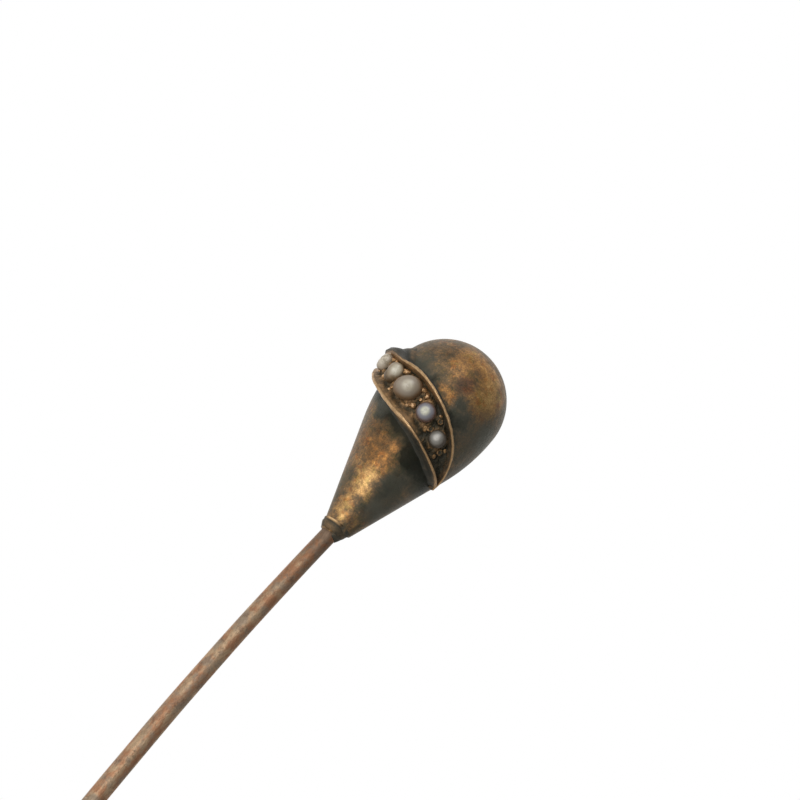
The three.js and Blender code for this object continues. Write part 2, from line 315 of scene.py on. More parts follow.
def surfaceAt(height):  # radius, and the outward normal's radial and upward parts
    above = height - girth
    if above >= 0:
        tall = crown - girth
        radius = headRadius * math.sqrt(max(0, 1 - (above / tall) ** 2))
        normal = Vector((radius / headRadius**2, above / tall**2)).normalized()
        return radius, normal.x, normal.y
    taper, bend = headShape["taperAngle"], headShape["shoulderRadius"]
    foot = girth - bend * math.sin(taper)
    lean = min(taper, math.asin(min(1, -above / bend)))
    radius = headRadius - bend * (1 - math.cos(lean))
    if height < foot:
        radius -= (foot - height) * math.tan(taper)
    return radius, math.cos(lean), -math.sin(lean)


def dented(place, wear):
    out = Vector((place.x, place.y, 0))
    if out.length > 0:
        out.normalize()
    dent = 0.5 + 0.5 * uneven(place, headShape["dentSize"], 2)
    return place - out * headShape["dentDepth"] * dent, wear


def headProfile(heights, depth):
    profile = []
    for height in heights:
        radius, out, up = surfaceAt(height)
        profile.append((max(0.004, radius - out * depth), height - up * depth, 0.5))
    return profile


def makeTaper(finish):
    heights = steps(mouth, girth - 0.02, 96) + [girth]
    outside = headProfile(heights, 0)
    inside = headProfile(heights[::3], headShape["wall"])[::-1]
    piece = Piece("headTaper")
    piece.skin(rings(outside + inside, headShape["sides"], dented), "join")
    piece.make(finish, "patina_gilt", "head_taper")


def makeDome(finish):
    tall = crown - girth
    heights = [girth, girth + 0.02] + [girth + tall * math.sin(turn) for turn in steps(0.02, math.pi / 2, 72)]
    outside = headProfile(heights, 0)
    inside = headProfile(heights[::3], headShape["wall"])[::-1]
    piece = Piece("headDome")
    piece.skin(rings(inside + outside, headShape["sides"], dented))
    piece.make(finish, "patina_gilt", "head_dome")


setting = {
    "facing": math.radians(-90),
    "drop": 2.67,  # from the girth down to its middle
    "slope": math.radians(21.8),
    "reach": math.radians(104),
    "middlePearl": 0.87,
    "sideRoom": 0.28,
    "wall": 0.22,
    "height": 1.12,
    "tipHeight": 0.3,
    "upperEnd": 0.967,
    "lowerEnd": 0.9,
    "pinch": 0.04,
    "upperFullness": 2,
    "lowerFullness": 1.55,
    "upperSkew": 0.08,
    "upperDip": (0.11, -18, 12),  # share lost, degrees along, reach
    "lowerShare": 1.05,
    "lowerDip": (0.13, 18, 25),
    "lowerTurnIn": 0.35,
    "turnInOver": (38, 72),  # degrees before the middle, where it begins and where it is full
    "shoulder": 0.6,  # the upper wall's thickening near its upper end
    "shoulderRise": (12, 36),
    "shoulderFall": (48, 80),
    "gap": 0.03,  # between the two walls where they meet
    "seatHeight": 0.62,
    "seatTipHeight": 0.1,
    "plateEnd": 0.86,
}
settingMiddle = girth - setting["drop"]
settingPitch = headRadius * math.tan(setting["slope"])
wallAcross = setting["wall"] / math.cos(setting["slope"])
innerHalf = (setting["middlePearl"] + setting["sideRoom"]) / math.cos(setting["slope"])
outerHalf = innerHalf + wallAcross


def settingPoint(along, across, off):
    height = settingMiddle - settingPitch * along + across
    radius, out, up = surfaceAt(height)
    turn = setting["facing"] + along
    reach = radius + out * off
    return Vector((reach * math.cos(turn), reach * math.sin(turn), height + up * off))


def boat(along, fullness=2):
    return 1 - abs(along / setting["reach"]) ** fullness


def dipped(along, depth, at, reach):
    return 1 - depth * math.exp(-(((math.degrees(along) - at) / reach) ** 2))


def upperOutside(along):
    skew = 1 + setting["upperSkew"] * math.sin(math.pi * along / setting["reach"])
    return outerHalf * boat(along, setting["upperFullness"]) * skew * dipped(along, *setting["upperDip"])


def lowerOutside(along):
    turnIn = 1 - setting["lowerTurnIn"] * ease(*setting["turnInOver"], -math.degrees(along))
    half = outerHalf * setting["lowerShare"] * turnIn * dipped(along, *setting["lowerDip"])
    return -half * boat(along, setting["lowerFullness"])


def shoulder(along):
    before = -math.degrees(along)
    rise, fall = ease(*setting["shoulderRise"], before), ease(*setting["shoulderFall"], before)
    return setting["shoulder"] * rise * (1 - fall)


def rimTop(along):
    return setting["tipHeight"] + (setting["height"] - setting["tipHeight"]) * boat(along)


def seatLevel(along):
    return setting["seatTipHeight"] + (setting["seatHeight"] - setting["seatTipHeight"]) * boat(along)


def divide(along):  # where the two walls meet near the ends
    share = abs(along) / setting["reach"]
    low, high = setting["lowerEnd"] - setting["pinch"], setting["lowerEnd"] + setting["pinch"]
    return lowerOutside(along) * ease(low, high, share)


def settingFrame(along, across, off):  # x along the setting, z off the head
    origin = settingPoint(along, across, off)
    out = (settingPoint(along, across, off + 0.1) - origin).normalized()
    ahead = settingPoint(along + 0.01, across, off) - origin
    side = out.cross(ahead).normalized()
    axes = Matrix((side.cross(out), side, out)).transposed().to_4x4()
    return Matrix.Translation(origin) @ axes


rim = {
    "stations": 360,
    "crest": 0.17,
    "crestSway": 0.25,  # handmade changes in the crest's thickness
    "heightSway": 0.03,
    "nick": 0.009,
    "flare": 0.1,  # share of the height
    "flareTop": 0.35,
    "fillet": 0.12,  # solder run out over the head
    "filletSpread": 0.5,  # more of it and a broader crest on the shoulder
    "crestSpread": 0.16,
    "sink": 0.03,
    # the outer face above the flare: share of the way up, share of the thickening, wear
    "outerFace": [(0.35, 0.84, 0.35), (0.65, 0.66, 0.45), (0.86, 0.5, 0.55)],
    "crestWear": 0.82,
    "shoulderDull": 0.45,  # on the thickened crest only the inner edge is rubbed
    "innerShade": 0.42,  # painted shade: the inner face darkens towards the lower end
    "shadeFrom": 10,  # degrees along
    "shadeTo": 30,
    # degrees along, spread, and how much brighter or darker each wall is, by wear and by painted highlights
    "upperRubAndHighlight": [(-78, 22, -0.8), (-48, 14, -0.7), (-26, 14, -0.35), (6, 16, 0.25), (38, 12, 0.15)],
    "lowerRubAndHighlight": [
        (-70, 16, -0.9),
        (-40, 14, 0.1),
        (-15, 18, 0.4),
        (6, 12, 0.4),
        (35, 12, -0.3),
        (66, 20, -0.25),
    ],
}


# rubbed wear together with painted highlights: brighter or darker spots along a wall
def rubAndHighlightAlong(along, spots):
    return sum(amount * math.exp(-(((math.degrees(along) - at) / wide) ** 2)) for at, wide, amount in spots)


def rimFoot(top, fillet, thickened, rubAndHighlight):  # (out, off, wear) from the head up to the flare
    flare = rim["flare"] * top
    spread = min(0.3, thickened)
    return [
        (flare + fillet * 1.7, -rim["sink"], spread),
        (flare + fillet * 1.1, 0.006 + 0.12 * spread, spread),
        (flare + fillet * 0.5, 0.04 + 0.55 * spread, 0.04 + spread),
        (flare * 0.8, 0.12 * top + 0.02 + 0.6 * spread, 0.1 + 0.5 * max(0, rubAndHighlight)),
    ]


def rimCrest(top, crest, thickened, rubAndHighlight, dent):  # (share across, off, wear) over the rounded crest
    drop = min((crest + thickened * rim["crestSpread"]) / 2, crest * 0.7)
    points = []
    for turn in steps(10, 160, 8):
        radians = math.radians(turn)
        outer = ease(0.0, 0.9, math.cos(radians))
        wear = rim["crestWear"] + rubAndHighlight * (0.1 if rubAndHighlight > 0 else 0.5) + 0.08 * dent
        if thickened > 0.02:
            wear -= rim["shoulderDull"] * outer
        off = top - drop * (1 - math.sin(radians)) + thickened * 0.25 * outer
        points.append((math.cos(radians), off, wear))
    return points


def rimInside(top, crest, along):  # (in, off, wear) from the crest down to the head
    # painted shade on the inner face, growing towards the lower end
    shade = rim["innerShade"] * ease(rim["shadeFrom"], rim["shadeTo"], math.degrees(along))
    return [
        (0, top - crest * 0.8, 0.78 - shade),
        (0.03, 0.78 * top, 0.72 - shade),
        (0.07, 0.5 * top, 0.76 - shade),
        (0.08, -rim["sink"], 0.4),
    ]


def rimLoop(along, outside, inside, thickened, rubAndHighlight, seed):
    sway = uneven((along * 4, seed * 9, 0), 1.0, seed)
    nick = uneven((along * 17, seed * 9, 4), 1.0, seed)
    dent = uneven((along * 60, seed * 9, 8), 1.0, seed)
    top = rimTop(along) * (1 + rim["heightSway"] * sway) + rim["nick"] * nick
    direction = 1 if outside > inside else -1
    widest = min(rim["crest"], abs(outside - inside) * 0.7)
    crest = widest * max(0.4, 1 + rim["crestSway"] * (0.6 * sway + 0.5 * nick) + rubAndHighlight)
    inside += direction * rim["nick"] * nick
    fillet = rim["fillet"] * min(1, top) * (1 + 0.4 * sway) + thickened * rim["filletSpread"]
    path = []
    for out, off, wear in rimFoot(top, fillet, thickened, rubAndHighlight):
        path.append((outside + direction * (out + thickened), off, wear))
    path.append((outside + direction * (thickened * 0.9 + 0.005 * dent), rim["flareTop"] * top, 0.25 + rubAndHighlight))
    dark = min(1, thickened * 1.6) * 0.2
    for share, swell, wear in rim["outerFace"]:
        off = (rim["flareTop"] * (1 - share) + share) * top - crest * 0.5 * share
        lean = outside + (inside + direction * crest - outside) * share
        off += thickened * share * 0.28
        path.append((lean + direction * (swell * thickened + 0.006 * dent), off, wear + rubAndHighlight - dark))
    half = (crest + thickened * rim["crestSpread"]) / 2
    for share, off, wear in rimCrest(top, crest, thickened, rubAndHighlight, dent):
        path.append((inside + direction * half * (1 + share), off, wear))
    for back, off, wear in rimInside(top, crest, along):
        path.append((inside - direction * back, off, wear))
    return [(settingPoint(along, across, off), clamp(wear)) for across, off, wear in path]


def makeRim(name, finish, node, outsideOf, direction, end, seed):
    reach = setting["reach"] * end
    gap = setting["gap"] / 2
    loops = []
    for along in steps(-reach, reach, rim["stations"]):
        outside = outsideOf(along)
        inside = outside - direction * wallAcross
        if direction > 0:
            inside = max(inside, divide(along) + gap)
        else:
            inside = min(inside, divide(along) - gap)
        thickened = shoulder(along) if direction > 0 else 0
        rubAndHighlight = rubAndHighlightAlong(along, rim["upperRubAndHighlight"] if direction > 0 else rim["lowerRubAndHighlight"])
        loops.append(rimLoop(along, outside, inside, thickened, rubAndHighlight, seed))
    Piece(name).skin(loops).make(finish, "gilt", node)


pearls = {
    # radius, space to the next, shift up the head, stretch along and across, turn, unevenness;
    # lobes are (along, across, radius) as shares of the radius
    "pearl_1": {"radius": 0.57, "space": 0.65, "up": 0.27, "stretch": (0.98, 1.12), "turn": 0,
                "lumps": 0.06, "lobes": [(0.05, 0.2, 0.84), (-0.03, -0.28, 0.8)], "ridges": 0.018},
    "pearl_2": {"radius": 0.64, "space": 0.32, "up": 0.13, "stretch": (1.0, 1.14), "turn": 12,
                "lumps": 0.07, "lobes": [(0.12, 0.2, 0.84), (0.0, -0.36, 0.7)], "ridges": 0},
    "pearl_3": {"radius": 0.87, "space": 0.5, "up": 0.13, "stretch": (1.075, 0.91), "turn": 56,
                "lumps": 0.015, "lobes": [(0, 0, 1)], "ridges": 0},
    "pearl_4": {"radius": 0.65, "space": 0.64, "up": 0.2, "stretch": (1, 1), "turn": 0,
                "lumps": 0.012, "lobes": [(0, 0, 1)], "ridges": 0},
    "pearl_5": {"radius": 0.58, "space": 0, "up": 0.13, "stretch": (1, 1), "turn": 0,
                "lumps": 0.015, "lobes": [(0, 0, 1)], "ridges": 0},
}
pearlRise = 0.3
lobeCrease = 14  # higher creases the joined lobes more sharply
pathRadius = math.hypot(headRadius + setting["height"] / 2, settingPitch)


def pearlPlaces():  # each pearl's angle along the setting, spaced outwards from the middle pearl
    looks = list(pearls.values())
    ends = [0]
    for look, after in zip(looks, looks[1:]):
        ends.append(ends[-1] + look["radius"] + look["space"] + after["radius"])
    middle = ends[len(ends) // 2]
    return [((end - middle) / pathRadius, look["up"], look["radius"]) for end, look in zip(ends, looks)]


places = pearlPlaces()


def pearlMatrix(node):
    along, across, radius = places[list(pearls).index(node)]
    return settingFrame(along, across, seatLevel(along) + pearlRise * radius)


def lobed(direction, lobes):  # distance from the middle out to the joined lobes' surface
    reach = 0
    for x, y, radius in lobes:
        toward = direction.x * x + direction.y * y
        reach += max(0, toward + math.sqrt(max(0, toward**2 - x**2 - y**2 + radius**2))) ** lobeCrease
    return (reach / len(lobes)) ** (1 / lobeCrease)


def makePearl(node, finish):
    look = pearls[node]
    radius = look["radius"]
    turn = Matrix.Rotation(math.radians(look["turn"]), 4, "Z")
    stretch = Matrix.Diagonal((*look["stretch"], 1, 1))
    furthest = 1.04 if len(look["lobes"]) > 1 else 0.99
    profile = [(0.62 * radius, -0.74 * radius, 0.5)]
    for angle in steps(-47, 88.5, 52):
        radians = math.radians(angle)
        profile.append((radius * math.cos(radians), radius * math.sin(radians), 0.5))

    def lumpy(place, wear):
        lump = look["lumps"] * uneven(place, radius * 0.7, radius * 9)
        reach = lobed(place.normalized(), look["lobes"]) * (1 + lump)
        reach += look["ridges"] * math.sin(place.y / radius * 13 + 2 * uneven(place, radius))
        return place * min(furthest, reach), wear

    piece = Piece(node + "_nacre")
    piece.skin(placed(rings(profile, 80, lumpy), pearlMatrix(node) @ turn @ stretch))
    piece.make(finish, "pearl", node)


plate = {
    "stations": 420,
    "across": 44,
    "hammer": 0.13,
    "hammerSize": 0.42,
    "grit": 0.08,
    "gritSize": 0.13,
    "edgeDrop": 0.1,  # cut lower beside the walls
    "collet": 0.05,  # metal pushed up round each pearl
    "colletReach": 0.1,
    "moat": 0.07,  # cut round the collet
    "moatAt": 0.28,
    "moatReach": 0.13,
    "groove": 0.26,  # V cut past the end pearls
    "rampFrom": 0.45,
    "rampUpper": (-64, -48),  # degrees along, where the ramp begins and ends
    "rampLower": (40, 14),
    "rampWear": 0.58,
    "wear": 0.49,
    "wearRelief": 2.4,  # what stands up is rubbed brighter
    "dullLower": 0.16,
    "dullUpper": 0.08,
}
grain = {
    "sides": 28,
    "tail": 0.8,  # drawn out on the side away from the pearl
    "rise": -0.05,
    "dull": 0.25,  # towards the lower tip
    "chip": 0.34,
    "cupTail": 0.15,
    "cupChip": 0.42,
    # the pearl it holds, its angle and distance along and across the setting, size, and cupped or not
    "beads": [
        (1, -53, -0.35, 0.17, False),
        (1, -49, 0.5, 0.15, False),
        (1, -37, 0.72, 0.17, False),
        (2, -33, -0.5, 0.17, False),
        (2, -29, 0.75, 0.14, False),
        (2, -12.5, 0.72, 0.18, False),
        (3, -17, -0.84, 0.14, False),
        (3, -15.5, -0.6, 0.11, False),
        (3, 10, 0.82, 0.17, False),
        (4, 16.2, 0.8, 0.18, False),
        (4, 10.5, -0.27, 0.2, False),
        (3, 6.3, -0.5, 0.1, False),
        (4, 13.5, 0.35, 0.11, False),
        (4, 34.5, 0.93, 0.1, False),
        (5, 37.3, 0.74, 0.2, True),
        (5, 35.3, 0.02, 0.21, True),
        (4, 31, -0.26, 0.16, False),
        (5, 56.5, 0.1, 0.2, True),
        (5, 59, 0.45, 0.11, False),
        (5, 56, -0.3, 0.12, False),
    ],
}


def plateLevel(along, across, share):  # share runs from -1 to 1 between the walls
    spot = (along * pathRadius, across, 0)
    relief = plate["hammer"] * uneven(spot, plate["hammerSize"], 5)
    relief += plate["grit"] * uneven(spot, plate["gritSize"], 6)
    relief -= plate["edgeDrop"] * abs(share) ** 3
    for pearlAlong, pearlAcross, radius in places:
        gap = math.hypot((along - pearlAlong) * pathRadius, across - pearlAcross) - radius
        relief += plate["collet"] * math.exp(-((gap / plate["colletReach"]) ** 2))
        relief -= plate["moat"] * math.exp(-(((gap - plate["moatAt"]) / plate["moatReach"]) ** 2))
    for pearlAlong, _, radius in (places[0], places[-1]):
        side = 1 if pearlAlong > 0 else -1
        past = side * (along - pearlAlong) * pathRadius - radius
        relief -= plate["groove"] * ease(0.25, 0.8, past) * (1 - abs(share))
    fade = min(1, (seatLevel(along) + 0.02) / 0.3)
    return relief * fade


def plateRamp(along, share):  # the plate is pressed up to the lower wall's crest here
    degrees = math.degrees(along)
    within = ease(*plate["rampLower"], degrees) * ease(*plate["rampUpper"], degrees)
    return ease(plate["rampFrom"], 1, -share) * within


def plateWear(along, relief):
    dull = plate["dullLower"] * ease(0.25, 0.65, along) + plate["dullUpper"] * ease(-0.45, -0.75, along)
    return plate["wear"] + relief * plate["wearRelief"] - dull


def makePlate(finish):
    reach = setting["reach"] * setting["plateEnd"]
    loops = []
    for along in steps(-reach, reach, plate["stations"]):
        low = lowerOutside(along) + wallAcross * 0.7
        high = max(low + 0.02, upperOutside(along) - wallAcross * 0.8)
        loop = []
        for across in steps(low, high, plate["across"]):
            share = (2 * across - low - high) / (high - low)
            relief = plateLevel(along, across, share)
            ramp = plateRamp(along, share)
            wear = clamp(plateWear(along, relief) * (1 - ramp) + plate["rampWear"] * ramp)
            floor = max(0.02, seatLevel(along) + relief)
            off = floor * (1 - ramp) + (rimTop(along) - plate["edgeDrop"]) * ramp
            loop.append((settingPoint(along, across, off), wear))
        loop += [(settingPoint(along, across, -0.02), 0) for across in (high, low)]
        loops.append(loop)
    Piece("seatPlate").skin(loops).make(finish, "gilt", "seat_plate", sharp=70)


def grainProfile(radius, cupped):
    outline = [(1.15, -1.3, 0.1), (1.1, -0.4, 0.25), (1.02, 0.1, 0.5), (0.88, 0.5, 0.8)]
    if cupped:  # the beading tool leaves a rim round a dimple
        outline += [(0.76, 0.62, 0.8), (0.6, 0.58, 0.65), (0.46, 0.38, 0.35)]
        outline += [(0.28, 0.26, 0.25), (0.03, 0.24, 0.25)]
    else:
        outline += [(0.66, 0.72, 0.95), (0.4, 0.86, 1.0), (0.18, 0.92, 1.0), (0.03, 0.93, 1.0)]
    return [(r * radius, z * radius, wear) for r, z, wear in outline]


def grainShape(degrees, across, size, cupped, away):  # drawn out away from its pearl, and chipped
    tail = grain["cupTail"] if cupped else grain["tail"]
    chipped = grain["cupChip"] if cupped else grain["chip"]
    dull = grain["dull"] * ease(18, 40, degrees)

    def shaped(place, wear):
        lean = max(0, place.dot(away))
        place = place + away * lean * tail
        place.z -= lean * tail * 0.7
        chip = uneven(place + Vector((degrees, 0, across)), size * 0.6)
        return place * (1 + chipped * chip), clamp(wear - dull + 0.3 * chip)

    return shaped


def makeGrains(finish):
    piece = Piece("settingGrains")
    for pearl, degrees, across, size, cupped in grain["beads"]:
        along = math.radians(degrees)
        pearlAlong, pearlAcross, _ = places[pearl - 1]
        away = Vector(((along - pearlAlong) * pathRadius, across - pearlAcross, 0)).normalized()
        matrix = settingFrame(along, across, seatLevel(along) + size * grain["rise"])
        shape = grainShape(degrees, across, size, cupped, away)
        piece.skin(placed(rings(grainProfile(size, cupped), grain["sides"], shape), matrix))
    piece.make(finish, "gilt")


collar = {
    "wall": 0.37,
    "sides": 128,
    "lipRadius": 0.048,
    "lipProud": 0.04,
    "footWall": 0.15,
    "lipHighlightFacing": math.radians(-90),  # the lip is painted bright on this side only, a painted highlight
    "lipHighlightSpread": math.radians(56),
    "lipFade": 0.045,  # share of its radius that the lip loses away from its painted highlight
    "stainAndReflection": 0.3,  # a painted reflection: lighter brown below the lip where its highlight falls
    "sway": 0.015,
}
solder = {
    "facing": math.radians(8),  # runs up over the collar on this side
    "spread": math.radians(74),
    "runUp": 0.8,
    "runOut": 0.16,
    "drop": 0.06,  # how far it runs down the stem elsewhere
    "dropRun": 0.27,
    "lumps": 0.035,
    "stainAndReflection": 0.3,  # browner where it hasn't run up
    "sides": 128,
}
stemRadius = collarRadius - collar["wall"]


def lipHighlight(turn):  # how strong the lip's painted highlight is at an angle round the neck
    off = abs((turn - collar["lipHighlightFacing"] + math.pi) % (2 * math.pi) - math.pi)
    return ease(1, 0.1, off / collar["lipHighlightSpread"])


def makeCollar(finish):
    top = mouth + 0.01
    lipRadius = collar["lipRadius"]
    lip = (collarRadius + collar["lipProud"] - lipRadius, top - lipRadius)
    body = [(-0.24, 0, 0.1), (-0.17, 0.1, 0.14), (-0.1, 0.22, 0.2), (-0.05, 0.32, 0.22)]
    body += [(-0.03, 0.4, 0.2), (-0.04, 0.455, 0.05)]
    profile = [(stemRadius + 0.005, 0, 0)]
    profile += [(collarRadius + out, height, wear) for out, height, wear in body]
    for angle in steps(-70, 80, 10):
        radians = math.radians(angle)
        profile.append((lip[0] + lipRadius * math.cos(radians), lip[1] + lipRadius * math.sin(radians), 1.0))
    profile.append((stemRadius + 0.005, top, 0))

    def handmade(place, wear):
        sway = collar["sway"] * uneven(place, 0.45, 8) * min(1, (place.xy.length - stemRadius) * 5)
        share = lipHighlight(math.atan2(place.y, place.x))
        # painted reflection: lighter brown just below the highlighted side of the lip
        stainAndReflection = collar["stainAndReflection"] * share * ease(0.4, 0.1, place.z)
        bright = 0
        if wear > 0.9:  # on the lip, painted bright where its highlight falls
            bright = share
            place = place - Vector((place.x, place.y, 0)) * collar["lipFade"] * (1 - bright)
        return place * (1 + sway) + neckMiddle, min(wear, 0.25) + 0.75 * bright + stainAndReflection

    piece = Piece("neckCollar")
    piece.skin(rings(profile, collar["sides"], handmade), "join")
    piece.make(finish, "gilt", "neck_collar")


def makeSolder(finish):
    loops = [[] for _ in range(16)]
    for turn in steps(0, 2 * math.pi, solder["sides"])[:-1]:
        off = abs((turn - solder["facing"] + math.pi) % (2 * math.pi) - math.pi) / solder["spread"]
        run = ease(1, 0.35, off + 0.3 * uneven((math.cos(turn), math.sin(turn), 0), 0.5, 12))
        toe = stemRadius + 0.02
        brim = stemRadius + collar["footWall"] * (1 - run) + (collar["wall"] + solder["runOut"]) * run
        top = solder["runUp"] * run
        low = -solder["drop"] * (1 - run) - solder["dropRun"] * run
        outline = [(stemRadius - 0.02, 0.05, 0.3), (stemRadius - 0.02, low, 0.3)]
        for share in steps(0, 1, 12):  # hollow where it is thin, nearly straight where it has run up
            radians = (1 - share) * math.pi / 2
            out = (1 - math.sin(radians)) * (1 - run) + share * run
            up = math.cos(radians) * (1 - run) + share * run
            outline.append((toe + (brim - toe) * out, low + (top - low) * up, 0.4))
        outline.append((brim - 0.05, top + 0.06, 0.4))
        spoke = Vector((math.cos(turn), math.sin(turn), 0))
        for loop, (radius, height, wear) in zip(loops, outline):
            place = spoke * radius + Vector((0, 0, height))
            swell = solder["lumps"] * uneven(place, 0.3, 4) if radius > stemRadius else 0
            wear += swell * 8 + solder["stainAndReflection"] * (1 - run)
            loop.append((place + spoke * swell + neckMiddle, clamp(wear)))
    Piece("neckSolder").skin(loops, "join").make(finish, "solder", "neck_solder")


stem = {
    "bowDepth": 0.48,
    "bowMiddle": 16,  # below the collar's mouth, where the bow is deepest
    "bowEnd": 21,
    "bowFacing": math.radians(210.5),
    "pointLength": 15,
    "pointRadius": 0.04,
    "sway": 0.02,
    "sides": 48,
    "stations": 640,
}


def bow(below):
    if below <= 0:
        return 0
    depth, middle, end = stem["bowDepth"], stem["bowMiddle"], stem["bowEnd"]
    slope = -2 * depth * (end - middle) / middle**2
    return depth * (1 - ((min(below, end) - middle) / middle) ** 2) + slope * max(0, below - end)


def makeStem(finish):
    side = Vector((math.cos(stem["bowFacing"]), math.sin(stem["bowFacing"]), 0))
    loops = []
    for height in steps(stemLow.z, stemHigh.z, stem["stations"]):
        share = clamp((height - stemLow.z) / stem["pointLength"])
        radius = stem["pointRadius"] + (stemRadius - stem["pointRadius"]) * math.sin(share * math.pi / 2)
        radius *= 1 - 0.008 * (0.5 + 0.5 * uneven((0, 0, height), 3.0, 3))
        sway = Vector((uneven((0, 0, height), 5, 1), uneven((0, 0, height), 5, 2), 0)) * stem["sway"]
        centre = neckMiddle + side * bow(-height) + Vector((0, 0, height))
        centre += sway * ease(0, 3, -height) * share
        loop = []
        for turn in steps(0, 2 * math.pi, stem["sides"])[:-1]:
            spoke = Vector((math.cos(turn), math.sin(turn), 0))
            dent = 1 - 0.008 * (0.5 + 0.5 * uneven(centre + spoke * radius, 0.8, 9))
            loop.append((centre + spoke * radius * dent, 0.5))
        loops.append(loop)
    Piece("pinStem").skin(loops).make(finish, "pin_wire", "pin_stem")


patina = {
    "base": 0.44,
    # size, strength, detail and roughness of each layer of mottling
    "layers": [(2.2, 0.25, 4, 0.6), (0.75, 0.6, 5, 0.62), (0.28, 0.85, 5, 0.7), (0.1, 0.8, 3, 0.72)],
    "calm": 0.4,  # how much of the mottling the dark parts keep
    "shadeAndGrime": 0.56,
    "shadeAndGrimeBelow": 1.5,  # how far the painted shade and grime spread from the setting's lower wall
    "shadeAndGrimeAbove": 0.8,
    "stops": [
        (0.0, (0.023, 0.025, 0.018)),
        (0.22, (0.074, 0.067, 0.046)),
        (0.4, (0.15, 0.108, 0.064)),
        (0.56, (0.28, 0.17, 0.083)),
        (0.74, (0.48, 0.285, 0.115)),
        (1.0, (0.86, 0.55, 0.23)),
    ],
    # angle round the head in degrees, height over the collar, size, and more or less gilt left
    "patches": [
        (-72, 3.5, 1.2, 0.34),
        (-79, 2.4, 0.8, 0.22),
        (-83, 1.5, 0.9, 0.32),
        (-60, 2.2, 0.7, -0.16),
        (-47, 3.7, 0.8, -0.24),
        (-70, 4.8, 0.9, 0.14),
        (-72, 5.8, 0.8, -0.02),
        (-69, 6.6, 0.8, 0.3),
        (-110, 6.8, 1.0, -0.06),
        (-100, 4.5, 1.0, 0.12),
        (-120, 5.2, 1.4, 0.02),
        (-111, 7.9, 0.9, -0.2),
        (-125, 2.8, 1.6, -0.08),
        (-84, 7.7, 0.7, -0.26),
        (-55, 7.0, 1.1, -0.3),
        (-40, 6.2, 1.2, -0.34),
        (-38, 4.6, 1.1, -0.24),
        (-22, 3.0, 1.8, -0.14),
        (-14, 6.0, 1.3, 0.0),
        (-31, 1.3, 0.45, 0.16),
        (-65, 14.0, 1.4, 0.22),
        (-44, 13.8, 1.4, 0.2),
        (-71, 12.6, 0.9, 0.16),
        (-22, 13.2, 1.8, 0.2),
        (-34, 12.1, 1.6, 0.24),
        (-126, 12.9, 1.2, -0.1),
        (-57, 11.9, 0.7, -0.02),
        (-63, 11.3, 0.5, -0.06),
        (-62, 10.6, 0.8, 0.18),
        (-18, 11.3, 1.4, 0.06),
        (-88, 12.7, 1.2, 0.04),
        (-84, 10.9, 0.8, -0.16),
        (-99, 11.4, 1.0, -0.04),
        (-34, 10.1, 0.8, -0.36),
        (-47, 10.9, 0.6, -0.3),
        (-46, 9.8, 0.8, -0.28),
        (-2, 10.2, 1.5, -0.08),
        (23, 8.4, 1.6, -0.16),
        (120, 11.5, 2.0, 0.2),
        (70, 6.5, 2.0, 0.22),
        (170, 5.0, 1.8, 0.16),
        (95, 13.5, 1.4, 0.2),
    ],
    # angle, height, size and strength, where a grey film or a red tarnish lies over the gilt;
    # the grey spot on the dome's right edge is a painted reflection of the backdrop
    "filmAndReflectionGrey": (0.125, 0.125, 0.1),
    "greyFilmAndReflection": [
        (-8, 9.8, 2.6, 0.6),
        (-99, 11.6, 1.3, 0.5),
        (-3, 4.2, 2.4, 0.55),
        # painted reflection: greys the dome's right edge as the backdrop would
        (10, 12, 2.6, 0.6),
        (-14, 2.3, 1.3, 0.5),
        (-46, 10.5, 1.0, 0.4),
        (-112, 8.2, 1.0, 0.5),
        (75, 10, 3.0, 0.4),
        (180, 8, 3.0, 0.4),
    ],
    "red": (1.0, 0.82, 0.62),
    "reddened": [
        (-92, 6.2, 2.2, 0.8),
        (-70, 5.8, 1.8, 0.6),
        (-64, 10.6, 1.1, 0.7),
        (-62, 13.6, 2.2, 0.55),
        (110, 12, 2.4, 0.5),
        (150, 4, 2.4, 0.5),
    ],
    # tints laid over the gilt in patches
    "olive": (0.72, 0.86, 0.7),
    "rust": (1.0, 0.62, 0.42),
    "plum": (0.75, 0.55, 0.62),
    "plumSpot": (-57, 11.9),
}


def headPoint(degrees, height):
    radius, _, _ = surfaceAt(height)
    turn = math.radians(degrees)
    return Vector((radius * math.cos(turn), radius * math.sin(turn), height))


def settingGap(finish, place):  # signed distance outside the setting's two walls, in millimetres
    axes = finish.node("SeparateXYZ", None, {0: place})
    x, y, z = [Wire(finish, socket) for socket in axes.outputs]
    along = x.sum("ARCTAN2", x, y * -1)
    across = z - settingMiddle + along * settingPitch
    half = 1 - (along * (1 / setting["reach"])).power(2)
    return across, abs(across) - half * outerHalf


def overlay(finish, place, spots):
    total = 0
    for degrees, height, size, amount in spots:
        gap = finish.distance(place, headPoint(degrees, height))
        total = gap.ease(size * 0.4, size * 1.1, amount, 0) + total
    return total


def giltLeft(made, loose):  # less beside the setting, where grime gathers and shade is painted in
    gilt = patina["base"]
    for degrees, height, size, amount in patina["patches"]:
        gap = made.distance(loose, headPoint(degrees, height))
        gilt = gap.ease(size * 0.3, size * 1.1, amount, 0) + gilt
    across, gap = settingGap(made, loose)
    # painted shade with grime: the head darkens below and above the setting's walls
    below = gap.ease(0.1, patina["shadeAndGrimeBelow"], patina["shadeAndGrime"], 0)
    above = gap.ease(0.0, patina["shadeAndGrimeAbove"], patina["shadeAndGrime"] * 0.6, 0)
    lower = across.ease(-0.3, 0.3, 1, 0)
    return gilt - below * lower - above * (1 - lower)


